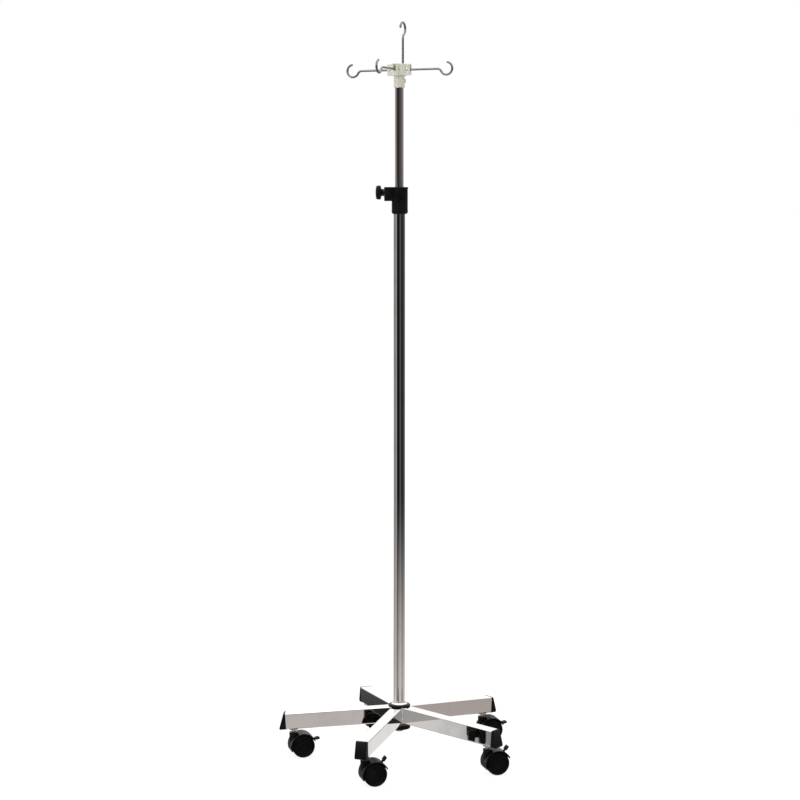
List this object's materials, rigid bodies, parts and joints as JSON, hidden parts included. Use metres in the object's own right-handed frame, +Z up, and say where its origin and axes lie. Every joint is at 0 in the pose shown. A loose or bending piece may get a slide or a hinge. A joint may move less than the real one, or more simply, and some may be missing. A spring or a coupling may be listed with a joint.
{
  "type": "infusion stand",
  "caption": "Rolling infusion stand: star base of chrome box legs on twin-wheel braked casters, telescopic round mast with clamp collar and knob, head with folding wire hooks.",
  "frame": {"origin": "on the floor, under the mast's axis", "axes": "+Z up along the mast; -Y towards the front; +X to the right, opposite the clamp knob"},
  "size_m": [0.5038, 0.503, 1.5839],
  "materials": {
    "chrome_tube": "polished chrome plate",
    "black_plastic": "satin moulded plastic",
    "caster_wheel": "satin moulded wheel",
    "zinc_steel": "zinc plated",
    "wire_steel": "drawn stainless wire",
    "ivory_plastic": "semi-gloss moulded plastic",
    "white_nylon": "matte nylon",
    "brass": "turned brass",
    "pad_rubber": "matte rubber"
  },
  "bodies": {
    "base": {"hub_core": "chrome_tube", "hub_top_ring": "black_plastic", "hub_bottom_ring": "black_plastic", "hub_base_bolt": "zinc_steel", "mast_foot_plug": "zinc_steel", "mast_foot_flange": "chrome_tube", "caster_stems": "zinc_steel", "caster_stem_nuts": "zinc_steel", "mast_lower_tube": "chrome_tube", "clamp_collar": "black_plastic", "clamp_insert": "brass", "leg_left": "chrome_tube", "leg_front_left": "chrome_tube", "leg_front_right": "chrome_tube", "leg_back_right": "chrome_tube", "leg_back_left": "chrome_tube", "leg_cap_left": "black_plastic", "leg_cap_front_left": "black_plastic", "leg_cap_front_right": "black_plastic", "leg_cap_back_right": "black_plastic", "leg_cap_back_left": "black_plastic"},
    "mast_carrier": {"mast_guide_bush": "white_nylon"},
    "mast": {"mast_upper_tube": "chrome_tube", "hook_head": "ivory_plastic", "hook_head_set_screw": "zinc_steel", "hook_pins": "zinc_steel"},
    "clamp_pad": {"clamp_pressure_pad": "pad_rubber"},
    "clamp_knob": {"clamp_knob": "black_plastic", "clamp_screw": "zinc_steel"},
    "hook_right": {"hook_right": "wire_steel"},
    "hook_back": {"hook_back": "wire_steel"},
    "hook_left": {"hook_left": "wire_steel"},
    "hook_front": {"hook_front": "wire_steel"},
    "caster_left": {"caster_hood_left": "black_plastic", "caster_axle_left": "zinc_steel"},
    "wheel_outer_left": {"caster_wheel_outer_left": "caster_wheel"},
    "wheel_inner_left": {"caster_wheel_inner_left": "caster_wheel"},
    "brake_left": {"brake_lever_left": "black_plastic"},
    "caster_front_left": {"caster_hood_front_left": "black_plastic", "caster_axle_front_left": "zinc_steel"},
    "wheel_outer_front_left": {"caster_wheel_outer_front_left": "caster_wheel"},
    "wheel_inner_front_left": {"caster_wheel_inner_front_left": "caster_wheel"},
    "brake_front_left": {"brake_lever_front_left": "black_plastic"},
    "caster_front_right": {"caster_hood_front_right": "black_plastic", "caster_axle_front_right": "zinc_steel"},
    "wheel_outer_front_right": {"caster_wheel_outer_front_right": "caster_wheel"},
    "wheel_inner_front_right": {"caster_wheel_inner_front_right": "caster_wheel"},
    "brake_front_right": {"brake_lever_front_right": "black_plastic"},
    "caster_back_right": {"caster_hood_back_right": "black_plastic", "caster_axle_back_right": "zinc_steel"},
    "wheel_outer_back_right": {"caster_wheel_outer_back_right": "caster_wheel"},
    "wheel_inner_back_right": {"caster_wheel_inner_back_right": "caster_wheel"},
    "brake_back_right": {"brake_lever_back_right": "black_plastic"},
    "caster_back_left": {"caster_hood_back_left": "black_plastic", "caster_axle_back_left": "zinc_steel"},
    "wheel_outer_back_left": {"caster_wheel_outer_back_left": "caster_wheel"},
    "wheel_inner_back_left": {"caster_wheel_inner_back_left": "caster_wheel"},
    "brake_back_left": {"brake_lever_back_left": "black_plastic"}
  },
  "joints": [
    {"name": "mast_slide", "type": "slide", "parent": "base", "child": "mast_carrier", "axis": [0, 0, 1], "range_m": [-0.208, 0.62]},
    {"name": "mast_turn", "type": "hinge", "parent": "mast_carrier", "child": "mast", "pos_m": [0, 0, 1.4], "axis": [0, 0, 1], "continuous": true},
    {"name": "clamp_pad_slide", "type": "slide", "parent": "base", "child": "clamp_pad", "axis": [-1, 0, 0], "range_m": [0, 0.0025]},
    {"name": "clamp_knob_turn", "type": "hinge", "parent": "clamp_pad", "child": "clamp_knob", "pos_m": [-0.045, 0, 1.2235], "axis": [-1, 0, 0], "range_deg": [0, 720.5]},
    {"name": "hook_right_fold", "type": "hinge", "parent": "mast", "child": "hook_right", "pos_m": [0.01795, -0.00762, 1.481], "axis": [-0.3907, -0.9205, 0], "range_deg": [0, 90]},
    {"name": "hook_back_fold", "type": "hinge", "parent": "mast", "child": "hook_back", "pos_m": [0.00762, 0.01795, 1.481], "axis": [0.9205, -0.3907, 0], "range_deg": [-90, 0]},
    {"name": "hook_left_fold", "type": "hinge", "parent": "mast", "child": "hook_left", "pos_m": [-0.01795, 0.00762, 1.481], "axis": [0.3907, 0.9205, 0], "range_deg": [0, 90]},
    {"name": "hook_front_fold", "type": "hinge", "parent": "mast", "child": "hook_front", "pos_m": [-0.00762, -0.01795, 1.481], "axis": [-0.9205, 0.3907, 0], "range_deg": [0, 90]},
    {"name": "caster_swivel_left", "type": "hinge", "parent": "base", "child": "caster_left", "pos_m": [-0.23, 0, 0.05], "axis": [0, 0, 1], "continuous": true},
    {"name": "wheel_spin_outer_left", "type": "hinge", "parent": "caster_left", "child": "wheel_outer_left", "pos_m": [-0.21165, 0.00492, 0.025], "axis": [-0.2588, 0.9659, 0], "continuous": true},
    {"name": "wheel_spin_inner_left", "type": "hinge", "parent": "caster_left", "child": "wheel_inner_left", "pos_m": [-0.21165, 0.00492, 0.025], "axis": [-0.2588, 0.9659, 0], "continuous": true},
    {"name": "brake_press_left", "type": "hinge", "parent": "caster_left", "child": "brake_left", "pos_m": [-0.20614, 0.00639, 0.0325], "axis": [-0.2588, 0.9659, 0], "range_deg": [-41.2, 0]},
    {"name": "caster_swivel_front_left", "type": "hinge", "parent": "base", "child": "caster_front_left", "pos_m": [-0.07107, -0.21874, 0.05], "axis": [0, 0, 1], "continuous": true},
    {"name": "wheel_spin_outer_front_left", "type": "hinge", "parent": "caster_front_left", "child": "wheel_outer_front_left", "pos_m": [-0.05272, -0.21382, 0.025], "axis": [-0.2588, 0.9659, 0], "continuous": true},
    {"name": "wheel_spin_inner_front_left", "type": "hinge", "parent": "caster_front_left", "child": "wheel_inner_front_left", "pos_m": [-0.05272, -0.21382, 0.025], "axis": [-0.2588, 0.9659, 0], "continuous": true},
    {"name": "brake_press_front_left", "type": "hinge", "parent": "caster_front_left", "child": "brake_front_left", "pos_m": [-0.04722, -0.21235, 0.0325], "axis": [-0.2588, 0.9659, 0], "range_deg": [0, 41.2]},
    {"name": "caster_swivel_front_right", "type": "hinge", "parent": "base", "child": "caster_front_right", "pos_m": [0.18607, -0.13519, 0.05], "axis": [0, 0, 1], "continuous": true},
    {"name": "wheel_spin_outer_front_right", "type": "hinge", "parent": "caster_front_right", "child": "wheel_outer_front_right", "pos_m": [0.20443, -0.13027, 0.025], "axis": [-0.2588, 0.9659, 0], "continuous": true},
    {"name": "wheel_spin_inner_front_right", "type": "hinge", "parent": "caster_front_right", "child": "wheel_inner_front_right", "pos_m": [0.20443, -0.13027, 0.025], "axis": [-0.2588, 0.9659, 0], "continuous": true},
    {"name": "brake_press_front_right", "type": "hinge", "parent": "caster_front_right", "child": "brake_front_right", "pos_m": [0.20993, -0.1288, 0.0325], "axis": [-0.2588, 0.9659, 0], "range_deg": [0, 41.2]},
    {"name": "caster_swivel_back_right", "type": "hinge", "parent": "base", "child": "caster_back_right", "pos_m": [0.18607, 0.13519, 0.05], "axis": [0, 0, 1], "continuous": true},
    {"name": "wheel_spin_outer_back_right", "type": "hinge", "parent": "caster_back_right", "child": "wheel_outer_back_right", "pos_m": [0.20443, 0.14011, 0.025], "axis": [-0.2588, 0.9659, 0], "continuous": true},
    {"name": "wheel_spin_inner_back_right", "type": "hinge", "parent": "caster_back_right", "child": "wheel_inner_back_right", "pos_m": [0.20443, 0.14011, 0.025], "axis": [-0.2588, 0.9659, 0], "continuous": true},
    {"name": "brake_press_back_right", "type": "hinge", "parent": "caster_back_right", "child": "brake_back_right", "pos_m": [0.20993, 0.14158, 0.0325], "axis": [-0.2588, 0.9659, 0], "range_deg": [-41.2, 0]},
    {"name": "caster_swivel_back_left", "type": "hinge", "parent": "base", "child": "caster_back_left", "pos_m": [-0.07107, 0.21874, 0.05], "axis": [0, 0, 1], "continuous": true},
    {"name": "wheel_spin_outer_back_left", "type": "hinge", "parent": "caster_back_left", "child": "wheel_outer_back_left", "pos_m": [-0.05272, 0.22366, 0.025], "axis": [-0.2588, 0.9659, 0], "continuous": true},
    {"name": "wheel_spin_inner_back_left", "type": "hinge", "parent": "caster_back_left", "child": "wheel_inner_back_left", "pos_m": [-0.05272, 0.22366, 0.025], "axis": [-0.2588, 0.9659, 0], "continuous": true},
    {"name": "brake_press_back_left", "type": "hinge", "parent": "caster_back_left", "child": "brake_back_left", "pos_m": [-0.04722, 0.22514, 0.0325], "axis": [-0.2588, 0.9659, 0], "range_deg": [0, 41.2]}
  ],
  "couplings": [
    {"joint": "clamp_knob_turn", "follows": "clamp_pad_slide", "rad_per_m": 5026.5}
  ]
}
